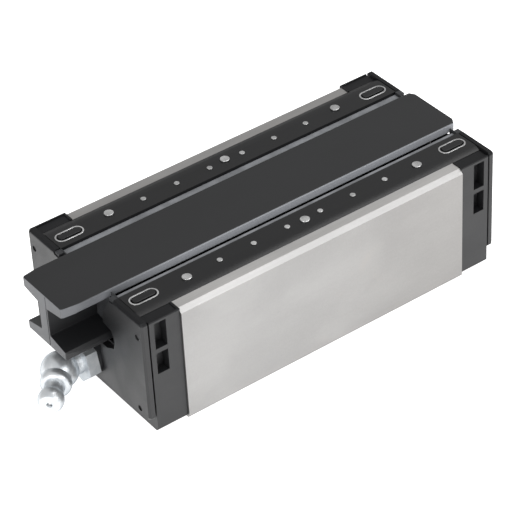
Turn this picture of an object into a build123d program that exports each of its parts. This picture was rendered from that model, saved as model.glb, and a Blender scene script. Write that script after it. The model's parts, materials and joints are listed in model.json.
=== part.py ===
from build123d import *
import os
from math import asin, cos, pi, radians, sin

os.makedirs("parts", exist_ok=True)

# Linear guide carriage with its transport rail. Millimetres. X runs along the
# rail, +Z points from the mounting face towards the rail's base, and the
# origin is the centre of the mounting face.

# ---- overall sizes ----------------------------------------------------------
body_length = 82.5
body_width = 48.0
body_height = 32.2              # top of the saddle beside the sealing strips
total_length = 103.4
gap = 0.02                      # air between pieces that sit against each other
press = 0.02                    # radial air round pins and screws
slack = 0.1                     # air in holes that only let a part through
past = 1.0                      # how far a cutter runs out of what it cuts

# ---- saddle -----------------------------------------------------------------
long_edge_drop = 1.05           # long chamfer beside the sealing strips
long_edge_inset = 1.2
mount_edge = 0.6                # small chamfer round the mounting face
strip_seat = 31.15              # floor of the rebate that holds a sealing strip
ceiling_z = 15.0
channel_outline = [             # half section of the channel, y then z
    (11.4, ceiling_z),
    (13.3, 16.9),
    (13.3, 22.5),
    (9.3, 26.5),
    (9.5, 27.1),
    (11.1, 27.1),
    (14.5, 33.0),               # runs out above the saddle's top
]
thread_r = 2.5                  # minor radius of an M6 mounting thread
thread_depth = 9.0
thread_mouth_r = 3.1
bolt_pitch_x = 50.0
bolt_pitch_y = 35.0

# ---- balls ------------------------------------------------------------------
ball_r = 1.4
groove_r = 1.48
turn_r = 3.1                    # radius of a turn, from loaded row to return
turn_tube_r = 1.55
rows = {                        # loaded row y and z, and slope to the return
    "upper": (11.0, 15.9, -30.0),
    "middle": (9.3, 25.2, -14.0),
    "lower": (11.1, 28.8, -7.0),
}
return_tube_r = 1.95
guide_half_width = 1.95

# ---- ball retainers, half sections, y then z --------------------------------
ceiling_retainer = [
    (10.5, ceiling_z + gap),
    (10.5, 16.7),
]
side_retainer = [
    (10.6, 17.2),
    (13.25, 17.2),
    (13.25, 22.45),
    (11.9, 23.8),
    (10.1, 23.6),
    (10.6, 22.8),
]
nose_retainer = [
    (8.0, 26.9),
    (9.35, 26.9),
    (9.45, 27.25),
    (9.55, 28.1),
    (8.75, 28.1),
]

# ---- end caps ---------------------------------------------------------------
cap_x = body_length / 2
cap_face_x = 49.7
cap_width = 47.0
cap_bottom = 0.3
cap_top = 32.4
cap_edge = 0.7
pocket_x = (45.2, 48.4)
pocket_depth = 2.6
pocket_z = ((17.0, 22.95), (24.2, 31.5))
ledge_depth = 0.25
ledge_rim = 0.45
ledge_inset = 0.6
port_z = 9.5                    # height of the lubrication port
port_r = 2.85
lube_groove = 1.4
lube_reach = 13.7

# ---- end plates and wipers --------------------------------------------------
plate_back_x = 50.1
plate_front_x = total_length / 2
plate_bottom = 4.1
plate_top = 32.9
plate_bevel = 0.5
plate_corner = 1.0
plate_top_corner = 0.6
port_slot_r = 4.8
port_slot_rise = 7.5
opening_outline = [             # half section of the plate's opening, y then z
    (7.7, 16.5),
    (10.6, 17.9),
    (11.1, 20.0),
    (10.8, 21.7),
    (10.1, 23.0),
    (6.95, 23.65),
    (6.95, 25.95),
    (9.0, 29.4),
    (10.5, 31.75),
    (12.1, 31.85),              # small notch in front of the lip
    (12.1, 34.6),
]
cap_clearance = 0.3
wiper_reach = 0.5
wiper_margin = 2.6
wiper_post_y = 10.95            # the wiper's posts beside the rail's upper flange
wiper_pin_r = 1.05
pin_points = ((21.25, 28.05), (19.7, 6.15))
pin_r = 0.75
pin_sink = 0.35
pin_length = 2.4

# ---- cap screws -------------------------------------------------------------
screw_points = ((17.6, 18.5), (15.5, 6.6))
screw_r = 1.2
screw_head_r = 1.9
screw_head = 1.5
screw_grip = 6.0
socket_r = 0.8
socket_depth = 0.9

# ---- sealing strips ---------------------------------------------------------
strip_half_length = 49.9
strip_inner = 11.85
strip_outer = 20.1
strip_bottom = strip_seat + slack / 2
strip_top = 32.8
strip_flat = 18.4               # where the flat top turns into the sloped shoulder
lip_inner = 10.15
lip_top = 31.95
lip_bottom = 30.75
lip_outline = [                 # section of the lip, y then z
    (lip_inner, lip_top),
    (strip_inner - gap, lip_top),
    (strip_inner - gap, lip_bottom + 0.4),
    (11.2, lip_bottom),
    (lip_inner, lip_top - 0.4),
]
rivet_pitch = 33.8
rivet_y = 15.85
rivet_head_r = 1.2
rivet_head = 0.35
rivet_shank_r = 0.6
fixing_grip = 1.0               # depth of rivets and studs in the saddle
stud_pitch = 9.7
stud_y = 15.4
stud_head_r = 0.7
stud_head = 0.18
stud_shank_r = 0.45
oblong_x = 45.3
oblong_y = 15.25
oblong_length = 7.6
oblong_width = 3.5
ring_wall = 0.4
ring_depth = 1.1
ring_rise = 0.08
plug_gap = 0.33
plug_rise = 0.3

# ---- lubrication nipple -----------------------------------------------------
nipple_shank = 4.8
seal_ring_r = 4.4
seal_ring_x = 52.5
hex_flat_r = 4.8
hex_turn = 15
hex_end_x = 55.5
stem_r = 2.95
elbow_x = 60.5
elbow_r = 4.6
head_angle = 46.0
collar_r = 3.8
collar_span = (3.0, 6.2)
collar_round = 1.3
neck_r = 2.4
head_r = 3.15
head_at = 10.5
tip_end = 12.4
mouth_r = 0.7
seat_at = 11.7
chamber_r = 1.25
chamber_from = 6.4
check_r = 1.05
duct_r = 0.75
spring_wire_r = 0.14
spring_turns = 5
spring_air = 0.08
overlap = 0.5                   # how far joined shapes run into each other
plug_sink = 0.2
plug_socket_r = 1.5
plug_socket_depth = 2.0

# ---- transport rail ---------------------------------------------------------
rail_near_x = -62.8
rail_far_x = 52.4
rail_section = [                # half section of the rail, y then z
    (8.5, 33.4),
    (8.75, 33.2),
    (8.75, 31.4),
    (8.4, 30.95),
    (1.75, 29.75),
    (1.75, 22.1),
    (7.75, 20.8),
    (8.5, 20.05),
    (8.5, 19.3),
    (7.95, 18.7),
]
rail_nose = 5.3                 # length of the tapered near end
rail_nose_inset = 0.7
rail_nose_corner = (0.5, 0.35)  # along the rail, then across it
rail_corner = (1.0, 1.7)        # the same for the far end


# ---- helpers ----------------------------------------------------------------
def both_sides(outline):
    """Complete a half outline across the middle plane."""
    return outline + [(-y, z) for y, z in reversed(outline)]


def prism(outline, x_from, x_to):
    """Extrude a closed outline of y and z between two x positions."""
    edge = Polyline([(x_from, y, z) for y, z in outline], close=True)
    return extrude(make_face(edge), amount=x_to - x_from, dir=(1, 0, 0))


def grown_prism(outline, grow, x_from, x_to):
    """Extrude an outline that is first offset outward by grow."""
    flat = make_face(Polyline([(y, z) for y, z in outline], close=True))
    moved = offset(flat, amount=grow, kind=Kind.INTERSECTION)
    plane = Plane(origin=(x_from, 0, 0), x_dir=(0, 1, 0), z_dir=(1, 0, 0))
    return extrude(plane * moved, amount=x_to - x_from)


def rod(radius, x_from, x_to, y=0.0, z=0.0):
    """Cylinder along X between two x positions."""
    low = min(x_from, x_to)
    plane = Plane(origin=(low, y, z), x_dir=(0, 1, 0), z_dir=(1, 0, 0))
    return extrude(plane * Circle(radius), amount=abs(x_to - x_from))


def post(radius, z_from, z_to, x, y):
    """Cylinder along Z between two heights."""
    return extrude(Plane((x, y, z_from)) * Circle(radius), amount=z_to - z_from)


def block(x_span, y_span, z_span):
    """Box given by its limits along each axis."""
    size = [abs(s[1] - s[0]) for s in (x_span, y_span, z_span)]
    middle = [(s[0] + s[1]) / 2 for s in (x_span, y_span, z_span)]
    return Pos(*middle) * Box(*size)


def ball_at(radius, point):
    """Ball with its centre at a point."""
    return Pos(*point) * Sphere(radius)


def row_ends(row, side):
    """Loaded row and return positions of a loop, as y and z."""
    y, z, slope = rows[row]
    reach = 2 * turn_r
    back_y = y + reach * cos(radians(slope))
    back_z = z + reach * sin(radians(slope))
    return (side * y, z), (side * back_y, back_z)


def turn_tube(row, side, end, radius):
    """Half ring that leads balls from the loaded row round to the return."""
    load, back = row_ends(row, side)
    middle = ((load[0] + back[0]) / 2, (load[1] + back[1]) / 2)
    along = (0, back[0] - load[0], back[1] - load[1])
    across = Vector(1, 0, 0).cross(Vector(*along))
    plane = Plane(origin=(end * cap_x, *middle), x_dir=along, z_dir=across)
    return plane * Torus(turn_r, radius)


def guide_core(row, side, end, radius, half_width, x_to):
    """Round core inside a turn, cut off at the saddle's end face."""
    load, back = row_ends(row, side)
    middle = ((load[0] + back[0]) / 2, (load[1] + back[1]) / 2)
    along = (0, back[0] - load[0], back[1] - load[1])
    across = Vector(1, 0, 0).cross(Vector(*along))
    plane = Plane(origin=(end * cap_x, *middle), x_dir=along, z_dir=across)
    core = plane * Cylinder(radius, 2 * half_width)
    reach = 3 * turn_r
    keep = block(
        (end * (cap_x + gap), end * x_to),
        (middle[0] - reach, middle[0] + reach),
        (middle[1] - reach, middle[1] + reach),
    )
    return core & keep


def oblong(length, width, x, y, z_from, z_to):
    """Upright oblong block with round ends."""
    shape = Plane((x, y, z_from)) * SlotOverall(length, width)
    return extrude(shape, amount=z_to - z_from)


# ---- saddle -----------------------------------------------------------------
def make_saddle():
    half = body_width / 2
    outside = [
        (half - mount_edge, 0.0),
        (half, mount_edge),
        (half, body_height - long_edge_drop),
        (half - long_edge_inset, body_height),
        (strip_outer + gap, body_height),
        (strip_outer + gap, strip_seat),
    ]
    saddle = prism(both_sides(outside), -cap_x, cap_x)
    saddle -= prism(both_sides(channel_outline), -cap_x - past, cap_x + past)
    for row in rows:
        for side in (-1, 1):
            load, back = row_ends(row, side)
            saddle -= rod(groove_r, -cap_x - past, cap_x + past, *load)
            saddle -= rod(return_tube_r + gap, -cap_x - past, cap_x + past, *back)
    for x in (-bolt_pitch_x / 2, bolt_pitch_x / 2):
        for y in (-bolt_pitch_y / 2, bolt_pitch_y / 2):
            saddle -= post(thread_r, -past, thread_depth, x, y)
            mouth = thread_mouth_r - thread_r
            saddle -= Pos(x, y, mouth / 2) * Cone(thread_mouth_r, thread_r, mouth)
    for end in (-1, 1):
        for y, z in screw_points:
            for side in (-1, 1):
                deep = end * (cap_x - screw_grip - past)
                saddle -= rod(screw_r + press, end * (cap_x + past), deep, side * y, z)
    low = strip_seat - fixing_grip - gap
    high = strip_seat + past
    for side in (-1, 1):
        for x in rivet_places():
            saddle -= post(rivet_shank_r + press, low, high, x, side * rivet_y)
        for x in stud_places():
            saddle -= post(stud_shank_r + press, low, high, x, side * stud_y)
    return saddle


# ---- end caps ---------------------------------------------------------------
def make_cap(end):
    half = cap_width / 2
    outside = [
        (half - cap_edge, cap_bottom),
        (half, cap_bottom + cap_edge),
        (half, cap_top),
        (strip_outer + slack, cap_top),
        (strip_outer + slack, strip_bottom - gap),
    ]
    x_in = end * (cap_x + gap)
    x_out = end * cap_face_x
    x_past = end * (cap_face_x + past)
    low = min(x_in, x_out)
    high = max(x_in, x_out)
    cap = prism(both_sides(outside), low, high)
    cap -= grown_prism(both_sides(opening_outline), cap_clearance, low - past, high + past)
    for row in rows:
        for side in (-1, 1):
            cap -= turn_tube(row, side, end, turn_tube_r)
            cap -= guide_core(row, side, end, turn_r + gap, guide_half_width + gap, cap_face_x)
    for side in (-1, 1):
        pocket_y = (side * (half - pocket_depth), side * (half + past))
        for z_span in pocket_z:
            cap -= block([end * x for x in pocket_x], pocket_y, z_span)
        ledge_x = (end * (cap_x + ledge_inset), x_past)
        ledge_y = (side * strip_outer, side * (half - ledge_rim))
        cap -= block(ledge_x, ledge_y, (cap_top - ledge_depth, cap_top + past))
        for y, z in screw_points:
            cap -= rod(screw_r + slack, end * cap_x, x_out, side * y, z)
            seat = end * (cap_face_x - screw_head - slack)
            cap -= rod(screw_head_r + slack, seat, x_past, side * y, z)
        for y, z in pin_points:
            deep = end * (plate_front_x - pin_sink - pin_length - gap)
            cap -= rod(pin_r + press, deep, x_past, side * y, z)
        lip_y = (side * (lip_inner - slack), side * (strip_inner + slack / 2))
        cap -= block((end * cap_x, x_past), lip_y, (lip_bottom - slack, cap_top + past))
    port_x = cap_face_x - nipple_shank
    cap -= rod(port_r, end * (port_x - ledge_inset), x_past, z=port_z)
    groove_z = (port_z - lube_groove / 2, port_z + lube_groove / 2)
    groove_y = (-lube_groove / 2, lube_groove / 2)
    cap -= block((end * cap_x, end * port_x), groove_y, groove_z)
    groove_x = (end * cap_x, end * (cap_x + lube_groove))
    cap -= block(groove_x, (-lube_reach, lube_reach), groove_z)
    return cap


def make_guides(end):
    cores = []
    for row in rows:
        for side in (-1, 1):
            core = guide_core(row, side, end, turn_r, guide_half_width, cap_face_x)
            cores += (core - turn_tube(row, side, end, turn_tube_r)).solids()
    return Compound(children=cores)


# ---- end plates, wipers and their fixings -----------------------------------
def make_plate(end):
    half = cap_width / 2
    outside = [
        (half - plate_corner, plate_bottom),
        (half, plate_bottom + plate_corner),
        (half, plate_top - plate_top_corner),
        (half - plate_top_corner, plate_top),
    ]
    low = min(end * plate_back_x, end * plate_front_x)
    high = low + plate_front_x - plate_back_x
    plate = prism(both_sides(outside), low, high)
    front = plate.faces().sort_by(Axis.X)[-1 if end > 0 else 0]
    plate = chamfer(front.edges(), plate_bevel)
    cut_x = (low - past, high + past)
    plate -= prism(both_sides(opening_outline), *cut_x)
    plate -= rod(port_slot_r, *cut_x, z=port_z)
    slot_y = (-port_slot_r, port_slot_r)
    plate -= block(cut_x, slot_y, (port_z, port_z + port_slot_rise))
    for side in (-1, 1):
        for y, z in pin_points:
            plate -= rod(pin_r + press, *cut_x, side * y, z)
    return plate


def make_wiper(end):
    half = cap_width / 2 - wiper_margin
    outside = [
        (half, plate_bottom + wiper_margin),
        (half, body_height - wiper_margin),
        (wiper_post_y, body_height - wiper_margin),
        (wiper_post_y, plate_top - gap),
    ]
    low = min(end * (cap_face_x + gap), end * (plate_back_x - gap))
    high = low + plate_back_x - cap_face_x - 2 * gap
    cut_x = (low - past, high + past)
    wiper = prism(both_sides(outside), low, high)
    wiper -= grown_prism(both_sides(opening_outline), -wiper_reach, *cut_x)
    wiper -= rod(seal_ring_r + slack, *cut_x, z=port_z)
    for side in (-1, 1):
        for y, z in pin_points:
            wiper -= rod(wiper_pin_r, *cut_x, side * y, z)
    return wiper


def make_pins(end):
    pins = []
    for side in (-1, 1):
        for y, z in pin_points:
            x_top = end * (plate_front_x - pin_sink)
            pins.append(rod(pin_r, x_top, x_top - end * pin_length, side * y, z))
    return Compound(children=pins)


def make_cap_screws(end):
    screws = []
    x_top = end * (cap_face_x - slack / 2)
    x_seat = end * (cap_face_x - screw_head)
    x_tip = end * (cap_x - screw_grip)
    for side in (-1, 1):
        for y, z in screw_points:
            screw = rod(screw_head_r, x_top, x_seat, side * y, z)
            screw += rod(screw_r, x_seat, x_tip, side * y, z)
            screw -= rod(socket_r, x_top, x_top - end * socket_depth, side * y, z)
            screws.append(screw)
    return Compound(children=screws)


# ---- sealing strips ---------------------------------------------------------
def rivet_places():
    return [i * rivet_pitch for i in (-1, 0, 1)]


def stud_places():
    return [i * stud_pitch / 2 for i in (-5, -3, -1, 1, 3, 5)]


def make_strip(side):
    section = [
        (side * strip_inner, strip_bottom),
        (side * strip_outer, strip_bottom),
        (side * strip_outer, body_height),
        (side * strip_flat, strip_top),
        (side * strip_inner, strip_top),
    ]
    strip = prism(section, -strip_half_length, strip_half_length)
    low = strip_bottom - past
    high = strip_top + past
    for x in rivet_places():
        strip -= post(rivet_shank_r + press, low, high, x, side * rivet_y)
    for x in stud_places():
        strip -= post(stud_shank_r + press, low, high, x, side * stud_y)
    hole = (oblong_length + 2 * gap, oblong_width + 2 * gap)
    for x in (-oblong_x, oblong_x):
        strip -= oblong(*hole, x, side * oblong_y, strip_top - ring_depth - gap, high)
    return strip


def make_lip(side):
    outline = [(side * y, z) for y, z in lip_outline]
    return prism(outline, -cap_face_x, cap_face_x)


def make_rivets(side):
    rivets = []
    for x in rivet_places():
        rivet = post(rivet_shank_r, strip_seat - fixing_grip, strip_top + slack, x, side * rivet_y)
        head = post(rivet_head_r, strip_top + gap, strip_top + rivet_head, x, side * rivet_y)
        rivets.append(rivet + head)
    return Compound(children=rivets)


def make_studs(side):
    studs = []
    for x in stud_places():
        stud = post(stud_shank_r, strip_seat - fixing_grip, strip_top + slack, x, side * stud_y)
        head = post(stud_head_r, strip_top + gap, strip_top + stud_head, x, side * stud_y)
        studs.append(stud + head)
    return Compound(children=studs)


def make_rings(side):
    rings = []
    for x in (-oblong_x, oblong_x):
        low = strip_top - ring_depth
        top = strip_top + ring_rise
        outer = oblong(oblong_length, oblong_width, x, side * oblong_y, low, top)
        inside = (oblong_length - 2 * ring_wall, oblong_width - 2 * ring_wall)
        inner = oblong(*inside, x, side * oblong_y, low - past, top + past)
        rings.append(outer - inner)
    return Compound(children=rings)


def make_plugs(side):
    plugs = []
    cut = 2 * (ring_wall + plug_gap)
    for x in (-oblong_x, oblong_x):
        low = strip_top - ring_depth
        size = (oblong_length - cut, oblong_width - cut)
        plugs.append(oblong(*size, x, side * oblong_y, low, strip_top + plug_rise))
    return Compound(children=plugs)


# ---- ball circuits ----------------------------------------------------------
def make_balls(row, side):
    """Closed loop of balls, evenly spaced round the whole circuit."""
    load, back = row_ends(row, side)
    middle = ((load[0] + back[0]) / 2, (load[1] + back[1]) / 2)
    toward = ((load[0] - middle[0]) / turn_r, (load[1] - middle[1]) / turn_r)
    arc = pi * turn_r
    path = 2 * (body_length + arc)
    least = 2 * turn_r * asin((ball_r + gap) / turn_r)
    count = int(path / least)
    balls = []
    for i in range(count):
        s = i * path / count
        if s < body_length:
            x, offset_r = s - cap_x, turn_r
        elif s < body_length + arc:
            turn = (s - body_length) / turn_r
            x, offset_r = cap_x + turn_r * sin(turn), turn_r * cos(turn)
        elif s < 2 * body_length + arc:
            x, offset_r = cap_x - (s - body_length - arc), -turn_r
        else:
            turn = (s - 2 * body_length - arc) / turn_r
            x, offset_r = -cap_x - turn_r * sin(turn), -turn_r * cos(turn)
        y = middle[0] + toward[0] * offset_r
        z = middle[1] + toward[1] * offset_r
        balls.append(ball_at(ball_r, (x, y, z)))
    return Compound(children=balls)


def make_return_tubes(side):
    tubes = []
    for row in rows:
        load, back = row_ends(row, side)
        tube = rod(return_tube_r, -cap_x + gap, cap_x - gap, *back)
        tubes.append(tube - rod(turn_tube_r, -cap_x, cap_x, *back))
    return Compound(children=tubes)


def cut_rows(shape):
    """Clear the loaded rows out of a retainer."""
    for row in rows:
        for side in (-1, 1):
            load, back = row_ends(row, side)
            shape -= rod(groove_r, -cap_x - past, cap_x + past, *load)
    return shape


def make_ceiling_retainer():
    return cut_rows(prism(both_sides(ceiling_retainer), -cap_x + gap, cap_x - gap))


def make_retainer(half_outline, side):
    outline = [(side * y, z) for y, z in half_outline]
    return cut_rows(prism(outline, -cap_x + gap, cap_x - gap))


# ---- lubrication nipple -----------------------------------------------------
head_dir = Vector(-cos(radians(head_angle)), -sin(radians(head_angle)), 0)
elbow = Vector(-elbow_x, 0, port_z)


def head_point(along):
    """Point on the head's axis, measured from the centre of the elbow."""
    return elbow + head_dir * along


def head_rod(radius, start, stop):
    """Cylinder on the head's axis."""
    plane = Plane(origin=head_point(start), z_dir=head_dir)
    return extrude(plane * Circle(radius), amount=stop - start)


def make_nipple():
    shank_x = -cap_face_x + nipple_shank
    nipple = rod(port_r - press, shank_x, -seal_ring_x - past, z=port_z)
    hex_plane = Plane(origin=(-hex_end_x, 0, port_z), x_dir=(0, 1, 0), z_dir=(1, 0, 0))
    hex_face = hex_plane * RegularPolygon(hex_flat_r, 6, major_radius=False, rotation=hex_turn)
    nipple += extrude(hex_face, amount=hex_end_x - seal_ring_x - gap)
    nipple += rod(stem_r, -hex_end_x + overlap, -elbow_x, z=port_z)
    nipple += ball_at(elbow_r, elbow)
    collar = head_rod(collar_r, *collar_span)
    nipple += fillet(collar.edges().filter_by(GeomType.CIRCLE), collar_round)
    nipple += head_rod(neck_r, 0, head_at)
    head = ball_at(head_r, head_point(head_at))
    nipple += head - head_rod(head_r, tip_end, head_at + head_r + past)
    nipple -= head_rod(mouth_r, seat_at - slack, tip_end + past)
    nipple -= head_rod(chamber_r, chamber_from, seat_at)
    nipple -= head_rod(duct_r, 0, chamber_from + overlap)
    nipple -= rod(duct_r, shank_x + past, -elbow_x, z=port_z)
    return nipple


def seat_drop():
    """Distance from the seat to the centre of the resting check ball."""
    return ((check_r + gap) ** 2 - mouth_r ** 2) ** 0.5


def make_check_ball():
    return ball_at(check_r, head_point(seat_at - seat_drop()))


def make_check_spring():
    top = seat_at - seat_drop() - check_r - gap - spring_wire_r
    low = chamber_from + gap + spring_wire_r
    plane = Plane(origin=head_point(low), z_dir=head_dir)
    coil_r = chamber_r - spring_wire_r - spring_air
    coil = Helix(pitch=(top - low) / spring_turns, height=top - low, radius=coil_r)
    wire_plane = Plane(origin=coil @ 0, z_dir=coil % 0)
    return plane * sweep(wire_plane * Circle(spring_wire_r), path=coil, is_frenet=True)


def make_seal_ring():
    ring = rod(seal_ring_r, -cap_face_x - gap, -seal_ring_x, z=port_z)
    return ring - rod(port_r, -cap_face_x + past, -seal_ring_x - past, z=port_z)


def make_port_plug():
    plug_face = cap_face_x - plug_sink
    plug = rod(port_r - press, cap_face_x - nipple_shank, plug_face, z=port_z)
    floor = (plug_face - plug_socket_depth, 0, port_z)
    socket = Plane(origin=floor, x_dir=(0, 1, 0), z_dir=(1, 0, 0))
    hole = socket * RegularPolygon(plug_socket_r, 6, major_radius=False)
    return plug - extrude(hole, amount=plug_socket_depth + past)


# ---- transport rail ---------------------------------------------------------
def make_transport_rail():
    rail = prism(both_sides(rail_section), rail_near_x, rail_far_x)
    wide = rail_section[1][0]
    z_low = rail_section[-1][1] - past
    z_high = rail_section[0][1] + past
    nose_y = wide - rail_nose_inset
    tip_y = nose_y - rail_nose_corner[1]
    clear_y = wide + past
    for side in (-1, 1):
        nose = [
            (rail_near_x, side * tip_y),
            (rail_near_x + rail_nose_corner[0], side * nose_y),
            (rail_near_x + rail_nose, side * wide),
            (rail_near_x + rail_nose, side * clear_y),
            (rail_near_x - past, side * clear_y),
            (rail_near_x - past, side * tip_y),
        ]
        tail = [
            (rail_far_x, side * (wide - rail_corner[1])),
            (rail_far_x - rail_corner[0], side * wide),
            (rail_far_x - rail_corner[0], side * clear_y),
            (rail_far_x + past, side * clear_y),
            (rail_far_x + past, side * (wide - rail_corner[1])),
        ]
        for outline in (nose, tail):
            flat = make_face(Polyline([(x, y, z_low) for x, y in outline], close=True))
            rail -= extrude(flat, amount=z_high - z_low, dir=(0, 0, 1))
    return rail


# ---- write every piece ------------------------------------------------------
def write(name, shape):
    if len(shape.solids()) == 1:
        shape = shape.solids()[0]
    export_step(shape, f"parts/{name}.step")


write("saddle_body", make_saddle())
for place, end in (("near", -1), ("far", 1)):
    write(f"{place}_end_cap", make_cap(end))
    write(f"{place}_return_guides", make_guides(end))
    write(f"{place}_end_plate", make_plate(end))
    write(f"{place}_wiper", make_wiper(end))
    write(f"{place}_plate_pins", make_pins(end))
    write(f"{place}_cap_screws", make_cap_screws(end))
for place, side in (("right", -1), ("left", 1)):
    write(f"{place}_seal_strip", make_strip(side))
    write(f"{place}_seal_lip", make_lip(side))
    write(f"{place}_strip_rivets", make_rivets(side))
    write(f"{place}_strip_studs", make_studs(side))
    write(f"{place}_slot_rings", make_rings(side))
    write(f"{place}_slot_plugs", make_plugs(side))
    write(f"{place}_return_tubes", make_return_tubes(side))
    write(f"{place}_side_retainer", make_retainer(side_retainer, side))
    write(f"{place}_nose_retainer", make_retainer(nose_retainer, side))
    for row in rows:
        write(f"{place}_{row}_balls", make_balls(row, side))
write("ceiling_retainer", make_ceiling_retainer())
write("nipple", make_nipple())
write("nipple_seal_ring", make_seal_ring())
write("check_ball", make_check_ball())
write("check_spring", make_check_spring())
write("port_plug", make_port_plug())
write("transport_rail", make_transport_rail())
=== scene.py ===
import json
import math

import bmesh
import bpy
from mathutils import Matrix, Vector


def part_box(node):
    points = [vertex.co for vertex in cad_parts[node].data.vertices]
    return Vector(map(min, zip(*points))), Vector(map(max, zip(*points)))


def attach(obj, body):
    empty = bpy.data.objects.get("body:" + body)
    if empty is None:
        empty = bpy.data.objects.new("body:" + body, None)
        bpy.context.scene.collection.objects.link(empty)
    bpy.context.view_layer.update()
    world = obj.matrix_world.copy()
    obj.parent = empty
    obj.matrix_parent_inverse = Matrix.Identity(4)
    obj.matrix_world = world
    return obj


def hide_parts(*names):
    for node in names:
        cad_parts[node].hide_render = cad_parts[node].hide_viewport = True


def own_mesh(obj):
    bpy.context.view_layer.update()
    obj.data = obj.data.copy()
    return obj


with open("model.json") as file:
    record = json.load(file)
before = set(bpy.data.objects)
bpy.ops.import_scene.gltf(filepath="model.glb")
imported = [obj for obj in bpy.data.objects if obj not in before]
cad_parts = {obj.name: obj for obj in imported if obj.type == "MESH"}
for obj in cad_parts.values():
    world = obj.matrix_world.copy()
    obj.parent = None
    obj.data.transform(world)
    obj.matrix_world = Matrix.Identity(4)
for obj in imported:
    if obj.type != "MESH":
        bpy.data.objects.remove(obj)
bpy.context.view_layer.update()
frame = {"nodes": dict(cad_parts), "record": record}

MM = 0.001
nodes = frame["nodes"]


# ---- node materials ---------------------------------------------------------
class Shade:
    """A small helper that adds and links shader nodes for one material."""

    def __init__(self, name):
        self.mat = bpy.data.materials.new(name)
        self.mat.use_nodes = True
        self.tree = self.mat.node_tree
        self.bsdf = self.tree.nodes["Principled BSDF"]
        self.place = self.tree.nodes.new("ShaderNodeTexCoord").outputs["Object"]

    def node(self, kind, **values):
        made = self.tree.nodes.new(kind)
        for key, value in values.items():
            setattr(made, key, value)
        return made

    def link(self, source, target):
        self.tree.links.new(source, target)

    def feed(self, made, inputs):
        for key, value in inputs.items():
            if isinstance(value, bpy.types.NodeSocket):
                self.link(value, made.inputs[key])
            else:
                made.inputs[key].default_value = value

    def noise(self, scale, detail=3.0, stretch=(1, 1, 1), rough=0.5, distort=0.0):
        spread = self.node("ShaderNodeMapping")
        self.feed(spread, {"Vector": self.place, "Scale": stretch})
        tex = self.node("ShaderNodeTexNoise")
        self.feed(tex, {"Vector": spread.outputs[0], "Scale": scale, "Detail": detail,
                        "Roughness": rough, "Distortion": distort})
        return tex.outputs["Fac"]

    def ramp(self, value, low, high, out_low=0.0, out_high=1.0):
        made = self.node("ShaderNodeMapRange", clamp=True)
        made.interpolation_type = "SMOOTHSTEP"
        self.feed(made, {"Value": value, "From Min": low, "From Max": high,
                         "To Min": out_low, "To Max": out_high})
        return made.outputs[0]

    def math(self, kind, a, b=0.0):
        made = self.node("ShaderNodeMath", operation=kind)
        self.feed(made, {0: a, 1: b})
        return made.outputs[0]

    def mix(self, factor, a, b):
        made = self.node("ShaderNodeMix", data_type="RGBA")
        for socket, value in ((0, factor), (6, a), (7, b)):
            if isinstance(value, bpy.types.NodeSocket):
                self.link(value, made.inputs[socket])
            else:
                made.inputs[socket].default_value = value
        return made.outputs[2]

    def axis(self, which):
        made = self.node("ShaderNodeSeparateXYZ")
        self.link(self.place, made.inputs[0])
        return made.outputs[which]

    def facing(self, which):
        """One component of the surface's own direction."""
        made = self.node("ShaderNodeSeparateXYZ")
        self.link(self.node("ShaderNodeNewGeometry").outputs["Normal"], made.inputs[0])
        return made.outputs[which]

    def bump(self, height, strength, distance, under=None):
        made = self.node("ShaderNodeBump")
        made.inputs["Strength"].default_value = strength
        made.inputs["Distance"].default_value = distance * MM
        self.link(height, made.inputs["Height"])
        if under is not None:
            self.link(under, made.inputs["Normal"])
        return made.outputs[0]

    def done(self, color=None, rough=None, normal=None, **sockets):
        for name, value in (("Base Color", color), ("Roughness", rough), ("Normal", normal)):
            if isinstance(value, bpy.types.NodeSocket):
                self.link(value, self.bsdf.inputs[name])
            elif value is not None:
                self.bsdf.inputs[name].default_value = value
        for name, value in sockets.items():
            self.bsdf.inputs[name.replace("_", " ")].default_value = value
        return self.mat


def grey(value, warm=0.0):
    """A grey, a little warmer when warm is above 0."""
    return (value * (1 + warm), value, value * (1 - warm), 1.0)


def brighter(color, factor):
    """The same colour, made lighter by a factor."""
    return tuple(c * factor for c in color[:3]) + (1,)


def plastic(name, base, grain=0.5, rough=(0.42, 0.56), shine=0.5, dull_z=None):
    """Moulded plastic with a fine grain, dust and faint flow marks, and dull above dull_z."""
    s = Shade(name)
    fine = s.noise(5200, 3.0)
    cloud = s.noise(160, 3.0)
    flow = s.noise(90, 4.0, (0.25, 1, 1), distort=0.6)
    tone = s.mix(s.ramp(cloud, 0.3, 0.7), base, brighter(base, 1.22))
    dust = s.ramp(s.noise(2300, 2.0), 0.66, 0.74, 0.0, 0.35)
    tone = s.mix(dust, tone, brighter(base, 1.9))
    gloss = s.ramp(flow, 0.3, 0.7, rough[0], rough[1])
    height = s.bump(fine, 0.35 * grain, 0.05)
    height = s.bump(cloud, 0.12, 0.05, height)
    made = s.done(tone, gloss, height, Specular_IOR_Level=shine)
    if dull_z is not None:
        top = s.ramp(s.axis(2), dull_z - 0.05 * MM, dull_z, shine, 0.3 * shine)
        s.link(top, s.bsdf.inputs["Specular IOR Level"])
    return made


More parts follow.
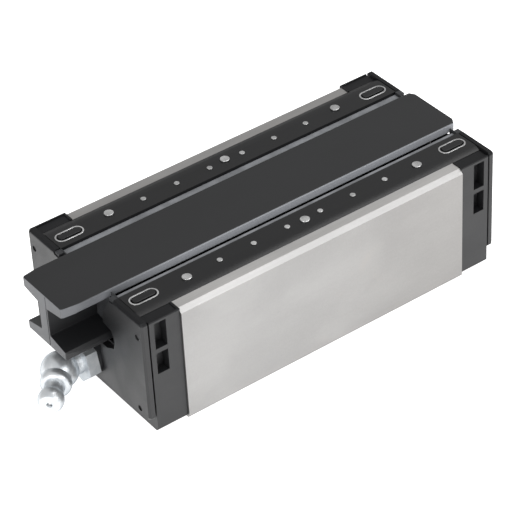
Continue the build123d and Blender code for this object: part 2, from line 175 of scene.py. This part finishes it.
def ground_steel():
    """Ground bearing steel: grinding lines, mottling and stains, with painted light and shade giving
    each face its own tone.
    """
    s = Shade("ground_steel_lines")
    lines = s.noise(900, 4.0, (0.05, 1, 1))
    long_lines = s.noise(300, 3.0, (0.02, 1, 1))
    mottle = s.noise(75, 4.0, (0.6, 1, 1), distort=0.4)
    grain = s.noise(2600, 3.0)
    cloud = s.ramp(mottle, 0.3, 0.72)
    top_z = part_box("saddle_body")[1][2]
    chamfer_z = top_z - 1.05 * MM
    height_z = s.axis(2)
    # painted light: side, chamfer and top band are lit and shaded copies of one steel, each with its own
    # tone
    side = s.mix(cloud, grey(0.300, 0.015), grey(0.338, 0.015))
    # painted shade along the side towards the far end
    far_end_painted_shade = s.mix(cloud, grey(0.262, 0.025), grey(0.292, 0.025))
    side = s.mix(s.ramp(s.axis(0), -20 * MM, 41 * MM), side, far_end_painted_shade)
    # painted highlight: the chamfer is given a lighter tone than the side
    bevel = s.mix(cloud, grey(0.56, 0.01), grey(0.62, 0.01))
    # painted highlight: the flat band along the top is lighter than the side
    painted_top_band = s.mix(cloud, grey(0.49, 0.02), grey(0.58, 0.02))
    # painted shade: the band on the far side is darker
    far_band_painted_shade = s.mix(cloud, grey(0.33, 0.02), grey(0.40, 0.02))
    painted_top_band = s.mix(s.ramp(s.axis(1), -5 * MM, 5 * MM), painted_top_band, far_band_painted_shade)
    tone = s.mix(s.ramp(height_z, chamfer_z - 0.05 * MM, chamfer_z + 0.05 * MM), side, bevel)
    tone = s.mix(s.ramp(height_z, top_z - 0.08 * MM, top_z - 0.02 * MM), tone, painted_top_band)
    tone = s.mix(s.ramp(lines, 0.35, 0.65, 0.0, 0.16), tone, grey(0.36, 0.02))
    stain = s.ramp(s.noise(42, 5.0, (0.5, 1, 1), 0.62, 0.8), 0.62, 0.76, 0.0, 0.22)
    tone = s.mix(stain, tone, (0.40, 0.36, 0.32, 1))
    gloss = s.ramp(s.math("ADD", lines, grain), 0.7, 1.3, 0.36, 0.48)
    height = s.bump(lines, 0.18, 0.008)
    height = s.bump(long_lines, 0.10, 0.010, height)
    height = s.bump(grain, 0.12, 0.006, height)
    return s.done(tone, gloss, height, Metallic=1.0)


def bright_plate():
    """Bright zinc plating: slightly uneven, with a fine grain, and painted shade underneath."""
    s = Shade("zinc_plate_bright")
    wave = s.noise(520, 3.0, distort=0.3)
    fine = s.noise(3800, 2.0)
    tone = s.mix(s.ramp(wave, 0.3, 0.7), (0.60, 0.63, 0.655, 1), (0.70, 0.72, 0.735, 1))
    # painted shade: faces turned downward get a darker tone
    tone = s.mix(s.ramp(s.facing(2), -0.6, 0.3), (0.43, 0.455, 0.48, 1), tone)
    gloss = s.ramp(wave, 0.25, 0.75, 0.32, 0.40)
    height = s.bump(wave, 0.10, 0.020)
    height = s.bump(fine, 0.08, 0.010, height)
    return s.done(tone, gloss, height, Metallic=0.8, Specular_Tint=(0.45, 0.48, 0.50, 1))


def rail_plastic_painted_light(name, base, lit_flange_tone, ends, flange_z):
    """Rail plastic, with painted light on its ends and along the sides of its upper flange."""
    s = Shade(name)
    fine = s.noise(4200, 3.0)
    cloud = s.noise(110, 4.0, (0.3, 1, 1), distort=0.4)
    # painted light on the upper flange, fading towards the near end
    outer = s.ramp(s.axis(2), flange_z - 4.0 * MM, flange_z - 3.5 * MM)
    less_near = s.ramp(s.axis(0), -57 * MM, -30 * MM, 0.35, 1.0)
    outer = s.math("MULTIPLY", outer, less_near)
    side = s.ramp(s.math("ABSOLUTE", s.facing(1)), 0.3, 0.8)
    end = s.ramp(s.math("ABSOLUTE", s.facing(0)), 0.4, 0.9)
    shade = s.ramp(cloud, 0.3, 0.7, 0.0, 1.0)
    top = s.mix(shade, base, brighter(base, 1.25))
    lit_flange_sides = s.mix(shade, lit_flange_tone, brighter(lit_flange_tone, 1.15))
    # painted light on the sideways faces of the flange
    tone = s.mix(s.math("MULTIPLY", side, outer), top, lit_flange_sides)
    # painted light on the end faces
    tone = s.mix(end, tone, ends)
    gloss = s.ramp(cloud, 0.3, 0.7, 0.36, 0.46)
    height = s.bump(fine, 0.16, 0.04)
    return s.done(tone, gloss, height, Specular_IOR_Level=0.43)


def cut_metal(name, low, high, rough=(0.22, 0.40), scale=1500):
    """Small turned or cut metal parts, with fine scratches and a cloudy tone."""
    s = Shade(name)
    marks = s.noise(scale, 4.0, (1, 0.3, 1), distort=0.3)
    cloud = s.noise(scale / 4, 3.0)
    tone = s.mix(s.ramp(cloud, 0.3, 0.7), grey(low), grey(high))
    gloss = s.ramp(marks, 0.3, 0.7, rough[0], rough[1])
    height = s.bump(marks, 0.25, 0.012)
    return s.done(tone, gloss, height, Metallic=1.0)


def ball_steel():
    """Lapped balls: nearly a mirror, with a faint haze."""
    s = Shade("ball_steel_lapped")
    haze = s.noise(700, 3.0)
    tone = s.mix(haze, grey(0.62), grey(0.74))
    return s.done(tone, s.ramp(haze, 0.3, 0.7, 0.07, 0.16), s.bump(haze, 0.04, 0.01), Metallic=1.0)


def rubber(name, base):
    """Matt rubber with a fine grain."""
    s = Shade(name)
    fine = s.noise(3600, 4.0)
    cloud = s.noise(240, 3.0)
    tone = s.mix(s.ramp(cloud, 0.3, 0.7), base, brighter(base, 1.5))
    gloss = s.ramp(fine, 0.3, 0.7, 0.52, 0.68)
    return s.done(tone, gloss, s.bump(fine, 0.25, 0.03), Specular_IOR_Level=0.4)


looks = {
    "ground_steel": ground_steel(),
    "ball_steel": ball_steel(),
    "screw_steel": cut_metal("screw_steel_dark", 0.22, 0.34),
    "zinc_plated": bright_plate(),
    "bare_fixing": cut_metal("fixing_bare_metal", 0.46, 0.66),
    "seal_rubber": rubber("seal_rubber_matt", (0.020, 0.021, 0.023, 1)),
    # the rail's flange sides and ends carry painted light
    "rail_plastic": rail_plastic_painted_light("rail_plastic_satin", (0.0055, 0.0057, 0.0065, 1),
                                   (0.26, 0.27, 0.29, 1), (0.056, 0.058, 0.063, 1),
                                   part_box("transport_rail")[1][2]),
    "guide_plastic": plastic("guide_plastic_moulded", (0.045, 0.046, 0.048, 1)),
    "strip_plastic": plastic("strip_plastic_satin", (0.0025, 0.0025, 0.003, 1), 0.4, (0.34, 0.44), 0.36),
    "cap_plastic": plastic("cap_plastic_grain", (0.0085, 0.0087, 0.0095, 1), 0.7, (0.38, 0.48), 0.45,
                           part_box("near_end_cap")[1][2] - 0.35 * MM),
}
slot_of = {part["node"]: part["material_slot"] for part in frame["record"]["subparts"]}
body_of = {n: b for b, names in frame["record"]["behaviour"]["bodies"].items() for n in names}


# ---- mesh helpers -----------------------------------------------------------
def new_piece(name, mesh, like):
    """A visible piece that rides on its CAD node's body and takes its finish."""
    piece = bpy.data.objects.new(name, mesh)
    bpy.context.scene.collection.objects.link(piece)
    mesh.materials.clear()
    mesh.materials.append(looks[slot_of[like]])
    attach(piece, body_of[like])
    return piece


def apply_modifiers(piece):
    """Put the modifiers' result in place of the piece's mesh."""
    made = piece.evaluated_get(bpy.context.evaluated_depsgraph_get())
    mesh = bpy.data.meshes.new_from_object(made)
    piece.modifiers.clear()
    old = piece.data
    piece.data = mesh
    bpy.data.meshes.remove(old)


def cut_box(piece, low, high):
    """Take a box out of a piece."""
    cutter_mesh = bpy.data.meshes.new("cutter")
    box = bmesh.new()
    bmesh.ops.create_cube(box, size=1.0)
    middle = (Vector(low) + Vector(high)) / 2
    span = Vector(high) - Vector(low)
    for vert in box.verts:
        vert.co = middle + Vector([c * s for c, s in zip(vert.co, span)])
    box.to_mesh(cutter_mesh)
    box.free()
    cutter = bpy.data.objects.new("cutter", cutter_mesh)
    bpy.context.scene.collection.objects.link(cutter)
    cut = piece.modifiers.new("cut", "BOOLEAN")
    cut.operation = "DIFFERENCE"
    cut.solver = "EXACT"
    cut.object = cutter
    apply_modifiers(piece)
    bpy.data.objects.remove(cutter)
    bpy.data.meshes.remove(cutter_mesh)


def refine(node, width, segments=3, angle=28.0, cuts=()):
    """Copy a CAD node, merge its flat faces and break its edges with small rounds."""
    source = nodes[node]
    work = bmesh.new()
    work.from_mesh(source.data)
    bmesh.ops.remove_doubles(work, verts=work.verts, dist=1e-6)
    bmesh.ops.dissolve_limit(work, angle_limit=math.radians(0.6), use_dissolve_boundaries=False,
                             verts=work.verts, edges=work.edges)
    mesh = bpy.data.meshes.new(node)
    work.to_mesh(mesh)
    work.free()
    piece = new_piece(node + "_skin", mesh, node)
    for low, high in cuts:
        cut_box(piece, low, high)
    bevel = piece.modifiers.new("edges", "BEVEL")
    bevel.width = width * MM
    bevel.segments = segments
    bevel.limit_method = "ANGLE"
    bevel.angle_limit = math.radians(angle)
    bevel.use_clamp_overlap = True
    bevel.harden_normals = False
    bevel.miter_outer = "MITER_ARC"
    apply_modifiers(piece)
    smooth(piece, angle)
    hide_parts(node)
    return piece


def smooth(piece, angle):
    """Smooth shading that keeps edges sharper than the angle."""
    mesh = piece.data
    mesh.shade_smooth()
    mesh.set_sharp_from_angle(angle=math.radians(angle))
    weighted = piece.modifiers.new("normals", "WEIGHTED_NORMAL")
    weighted.keep_sharp = True
    weighted.mode = "FACE_AREA"
    apply_modifiers(piece)


def add_prism(piece, outline, x_from, x_to):
    """Add an outline of y and z, in millimetres, stretched between two x positions."""
    work = bmesh.new()
    work.from_mesh(piece.data)
    ends = [[work.verts.new((x * MM, y * MM, z * MM)) for y, z in outline] for x in (x_from, x_to)]
    faces = [work.faces.new(ends[0]), work.faces.new(list(reversed(ends[1])))]
    for i in range(len(outline)):
        j = (i + 1) % len(outline)
        faces.append(work.faces.new((ends[0][i], ends[1][i], ends[1][j], ends[0][j])))
    bmesh.ops.recalc_face_normals(work, faces=faces)
    work.to_mesh(piece.data)
    work.free()


wiper_sheet = [                 # one side, y then z: along the rail, then back along the plate
    (12.0, 32.7), (9.05, 32.7), (9.05, 31.2), (8.6, 30.65), (2.05, 29.45), (2.05, 22.35),
    (7.95, 21.1), (8.8, 20.2), (8.8, 19.2), (8.1, 18.4), (8.1, 17.0), (10.9, 17.6),
    (11.5, 20.0), (11.1, 22.0), (10.4, 23.3), (7.4, 23.9), (7.4, 25.8), (9.4, 29.3),
    (10.8, 31.5), (12.0, 31.6),
]
wiper_sheet_x = (49.78, 50.02)
wiper_ear = [(12.04, 31.9), (10.5, 31.9), (10.3, 32.1), (10.3, 32.6), (12.04, 32.6)]
wiper_ear_x = (49.95, 51.45)


def dress_wiper(end, sign):
    """Bring the wiper's sheet close to the rail, with an ear in each notch of the plate."""
    piece = refine(end + "_wiper", 0.04, 1)
    for side in (-1, 1):
        for outline, reach_x in ((wiper_sheet, wiper_sheet_x), (wiper_ear, wiper_ear_x)):
            add_prism(piece, [(side * y, z) for y, z in outline], *(sign * x for x in reach_x))


lip_look = rubber("seal_lip_satin", (0.16, 0.165, 0.175, 1))
own_look = {"right_seal_lip": lip_look, "left_seal_lip": lip_look}
for name, obj in nodes.items():
    obj.data.materials.clear()
    obj.data.materials.append(own_look.get(name, looks[slot_of[name]]))

for end in ("near", "far"):
    refine(end + "_end_cap", 0.16)
    refine(end + "_end_plate", 0.10)
dress_wiper("near", -1)
dress_wiper("far", 1)
for side in ("right", "left"):
    refine(side + "_seal_strip", 0.06)
    refine(side + "_strip_rivets", 0.10, 2)
    refine(side + "_strip_studs", 0.06, 2)
    refine(side + "_slot_rings", 0.06, 2)
    refine(side + "_slot_plugs", 0.12, 2)
refine("saddle_body", 0.12)
rail_low, rail_high = (Vector(corner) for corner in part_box("transport_rail"))
seam_y = -1.3 * MM              # a moulding seam up the near end face
seam_half = 0.11 * MM
seam_depth = 0.3 * MM
seam_stop = 0.4 * MM            # how far below the top the seam ends
seam = ((rail_low.x - MM, seam_y - seam_half, rail_low.z - MM),
        (rail_low.x + seam_depth, seam_y + seam_half, rail_high.z - seam_stop))
refine("transport_rail", 0.20, cuts=[seam])
refine("nipple", 0.12)

# the spring, which shortens as the check ball is pushed in, gets a mesh of its own
spring = new_piece("check_spring_coil", nodes["check_spring"].data.copy(), "check_spring")
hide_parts("check_spring")
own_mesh(spring)

# ---- camera -----------------------------------------------------------------
turn, rise, roll = math.radians(-34.71), math.radians(37.53), math.radians(-3.28)
aim = Vector((-3.59, 0.19, 14.76)) * MM
distance = 0.58109
back = Vector((math.sin(turn) * math.cos(rise), -math.cos(turn) * math.cos(rise), math.sin(rise)))
right = Vector((math.cos(turn), math.sin(turn), 0))
up = back.cross(right)
right_r = right * math.cos(roll) + up * math.sin(roll)
up_r = up * math.cos(roll) - right * math.sin(roll)
camera = bpy.data.objects.new("camera", bpy.data.cameras.new("camera"))
bpy.context.scene.collection.objects.link(camera)
camera.data.sensor_width = 36.0
camera.data.lens = 170.16
camera.data.clip_start = 0.01
camera.data.clip_end = 50.0
place = Matrix((right_r, up_r, back)).transposed().to_4x4()
place.translation = aim + back * distance
camera.matrix_world = place
bpy.context.scene.camera = camera

# ---- floor ------------------------------------------------------------------
floor_mesh = bpy.data.meshes.new("floor")
reach = 6.0                     # metres to each side
floor_drop = 0.0002
floor_mesh.from_pydata([(-reach, -reach, 0), (reach, -reach, 0), (reach, reach, 0),
                        (-reach, reach, 0)], [], [(0, 1, 2, 3)])
floor = bpy.data.objects.new("floor", floor_mesh)
bpy.context.scene.collection.objects.link(floor)
floor.location.z = -floor_drop
acrylic = Shade("light_table")
haze = acrylic.noise(60, 3.0)
floor_mesh.materials.append(acrylic.done(acrylic.mix(haze, grey(0.80), grey(0.84)), 0.7,
                                         acrylic.bump(haze, 0.02, 0.02),
                                         Emission_Color=(1, 1, 1, 1), Emission_Strength=0.85))


# ---- lights -----------------------------------------------------------------
def lamp(name, spot, target, size, power, color=(1, 1, 1)):
    data = bpy.data.lights.new(name, "AREA")
    data.shape = "RECTANGLE"
    data.size, data.size_y = size
    data.energy = power
    data.color = color
    obj = bpy.data.objects.new(name, data)
    bpy.context.scene.collection.objects.link(obj)
    obj.location = spot
    obj.rotation_euler = (Vector(target) - Vector(spot)).to_track_quat("-Z", "Y").to_euler()
    return obj


lamp("key", (-0.75, -0.40, 0.30), (0, 0, 0.02), (0.5, 0.4), 3.0)
lamp("front", (0.10, -0.80, 0.52), (0, 0, 0.02), (0.9, 0.35), 3.0)
lamp("top", (0.42, 0.0, 0.80), (0, 0, 0), (0.45, 0.45), 2.2)

world = bpy.data.worlds.new("studio")
world.use_nodes = True
tree = world.node_tree
coord = tree.nodes.new("ShaderNodeTexCoord")
split = tree.nodes.new("ShaderNodeSeparateXYZ")
tree.links.new(coord.outputs["Generated"], split.inputs[0])
fade = tree.nodes.new("ShaderNodeMapRange")  # brighter in front of the part than behind it
for socket, value in (("From Min", -0.9), ("From Max", 0.9), ("To Min", 0.8), ("To Max", 0.6)):
    fade.inputs[socket].default_value = value
tree.links.new(split.outputs[1], fade.inputs["Value"])
tree.links.new(fade.outputs[0], tree.nodes["Background"].inputs["Strength"])
tree.nodes["Background"].inputs["Color"].default_value = (1, 1, 1, 1)
bpy.context.scene.world = world
bpy.context.scene.view_settings.view_transform = "Standard"
bpy.context.scene.view_settings.look = "None"
